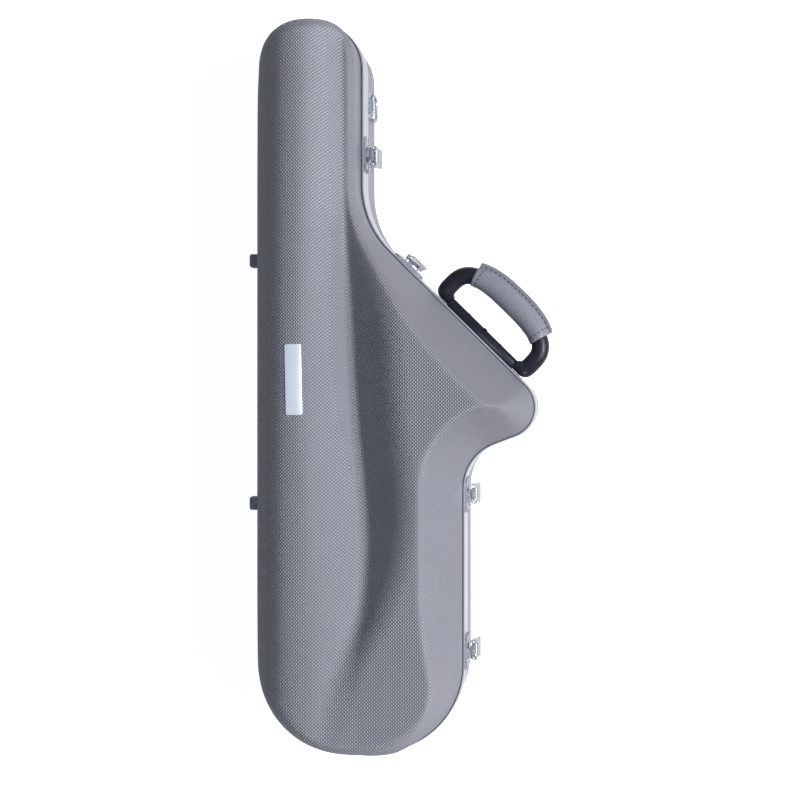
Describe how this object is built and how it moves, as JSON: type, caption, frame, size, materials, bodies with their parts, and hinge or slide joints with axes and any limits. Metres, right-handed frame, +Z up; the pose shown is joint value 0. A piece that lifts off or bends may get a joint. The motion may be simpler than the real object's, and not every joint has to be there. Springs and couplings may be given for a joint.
{
  "type": "tenor saxophone case",
  "caption": "Contoured hard case for a tenor saxophone, with a hinged lid, draw latches, a leather grip handle and carrying rings.",
  "frame": {"origin": "on the flat back that the case rests on, under the middle of the lower body", "axes": "+Z up towards the lid, +Y towards the neck end, +X towards the latches and the handle"},
  "size_m": [0.3358, 0.8296, 0.2017],
  "materials": {
    "grey_shell": "satin, embossed with a fine diagonal grid",
    "aluminium_frame": "satin anodised",
    "black_rubber": "matte",
    "foot_rubber": "matte",
    "plush_foam": "soft plush",
    "chrome": "polished",
    "steel_pin": "polished",
    "black_hinge": "satin black",
    "black_plastic": "satin",
    "grey_leather": "fine grain, stitched",
    "brushed_plate": "brushed"
  },
  "bodies": {
    "base": {"base_shell": "grey_shell", "base_frame": "aluminium_frame", "base_bead": "black_rubber", "frame_seal": "black_rubber", "base_foam": "plush_foam", "neck_cradle": "plush_foam", "bow_cradle": "plush_foam", "bell_divider": "plush_foam", "hinge_neck_base_leaf": "black_hinge", "hinge_neck_pin": "steel_pin", "hinge_tail_base_leaf": "black_hinge", "hinge_tail_pin": "steel_pin", "base_hinge_rivets": "steel_pin", "latch_rivets": "steel_pin", "ring_rivets": "steel_pin", "handle_screws": "steel_pin", "handle_pins": "steel_pin", "handle_bar": "black_plastic", "ring_neck_bracket": "chrome", "ring_tail_bracket": "chrome", "base_spine_feet": "foot_rubber", "latch_1_plate": "chrome", "latch_2_plate": "chrome", "latch_3_plate": "chrome", "latch_4_plate": "chrome", "latch_1_pivot_stubs": "steel_pin", "latch_2_pivot_stubs": "steel_pin", "latch_3_pivot_stubs": "steel_pin", "latch_4_pivot_stubs": "steel_pin"},
    "lid": {"lid_shell": "grey_shell", "lid_frame": "aluminium_frame", "lid_bead": "black_rubber", "lid_foam": "plush_foam", "name_plate": "brushed_plate", "hinge_neck_lid_leaf": "black_hinge", "hinge_tail_lid_leaf": "black_hinge", "lid_hinge_rivets": "steel_pin", "catch_rivets": "steel_pin", "lid_spine_feet": "foot_rubber", "latch_1_catch": "chrome", "latch_2_catch": "chrome", "latch_3_catch": "chrome", "latch_4_catch": "chrome"},
    "handle": {"handle_bow": "black_plastic", "handle_grip": "grey_leather"},
    "ring_neck": {"ring_neck": "chrome"},
    "ring_tail": {"ring_tail": "chrome"},
    "latch_1_lever": {"latch_1_lever": "chrome", "latch_1_link_pin": "steel_pin"},
    "latch_1_claw": {"latch_1_claw": "chrome"},
    "latch_2_lever": {"latch_2_lever": "chrome", "latch_2_link_pin": "steel_pin"},
    "latch_2_claw": {"latch_2_claw": "chrome"},
    "latch_3_lever": {"latch_3_lever": "chrome", "latch_3_link_pin": "steel_pin"},
    "latch_3_claw": {"latch_3_claw": "chrome"},
    "latch_4_lever": {"latch_4_lever": "chrome", "latch_4_link_pin": "steel_pin"},
    "latch_4_claw": {"latch_4_claw": "chrome"}
  },
  "joints": [
    {"name": "lid_hinge", "type": "hinge", "parent": "base", "child": "lid", "pos_m": [-0.11815, 0, 0.098], "axis": [0, -1, 0], "range_deg": [0, 105]},
    {"name": "latch_1_lever_pivot", "type": "hinge", "parent": "base", "child": "latch_1_lever", "pos_m": [0.00695, 0.26351, 0.091], "axis": [0, -1, 0], "range_deg": [0, 100]},
    {"name": "latch_1_claw_pivot", "type": "hinge", "parent": "latch_1_lever", "child": "latch_1_claw", "pos_m": [0.00695, 0.26351, 0.083], "axis": [0, -1, 0], "range_deg": [-100, 0]},
    {"name": "latch_2_lever_pivot", "type": "hinge", "parent": "base", "child": "latch_2_lever", "pos_m": [0.05387, 0.14046, 0.091], "axis": [0.7103, -0.7039, 0], "range_deg": [0, 100]},
    {"name": "latch_2_claw_pivot", "type": "hinge", "parent": "latch_2_lever", "child": "latch_2_claw", "pos_m": [0.05387, 0.14046, 0.083], "axis": [0.7103, -0.7039, 0], "range_deg": [-100, 0]},
    {"name": "latch_3_lever_pivot", "type": "hinge", "parent": "base", "child": "latch_3_lever", "pos_m": [0.12195, -0.12101, 0.091], "axis": [0, -1, 0], "range_deg": [0, 100]},
    {"name": "latch_3_claw_pivot", "type": "hinge", "parent": "latch_3_lever", "child": "latch_3_claw", "pos_m": [0.12195, -0.12101, 0.083], "axis": [0, -1, 0], "range_deg": [-100, 0]},
    {"name": "latch_4_lever_pivot", "type": "hinge", "parent": "base", "child": "latch_4_lever", "pos_m": [0.12195, -0.297, 0.091], "axis": [0, -1, 0], "range_deg": [0, 100]},
    {"name": "latch_4_claw_pivot", "type": "hinge", "parent": "latch_4_lever", "child": "latch_4_claw", "pos_m": [0.12195, -0.297, 0.083], "axis": [0, -1, 0], "range_deg": [-100, 0]},
    {"name": "handle_pivot", "type": "hinge", "parent": "base", "child": "handle", "pos_m": [0.1349, 0.06311, 0.089], "axis": [0.7103, -0.7039, 0], "range_deg": [-60, 60]},
    {"name": "ring_neck_pivot", "type": "hinge", "parent": "base", "child": "ring_neck", "pos_m": [0.00205, 0.32502, 0.066], "axis": [0, -1, 0], "range_deg": [0, 150]},
    {"name": "ring_tail_pivot", "type": "hinge", "parent": "base", "child": "ring_tail", "pos_m": [0, -0.41455, 0.066], "axis": [-1, 0, 0], "range_deg": [0, 150]}
  ],
  "couplings": [
    {"joint": "latch_1_claw_pivot", "follows": "latch_1_lever_pivot", "ratio": -1},
    {"joint": "latch_2_claw_pivot", "follows": "latch_2_lever_pivot", "ratio": -1},
    {"joint": "latch_3_claw_pivot", "follows": "latch_3_lever_pivot", "ratio": -1},
    {"joint": "latch_4_claw_pivot", "follows": "latch_4_lever_pivot", "ratio": -1}
  ]
}
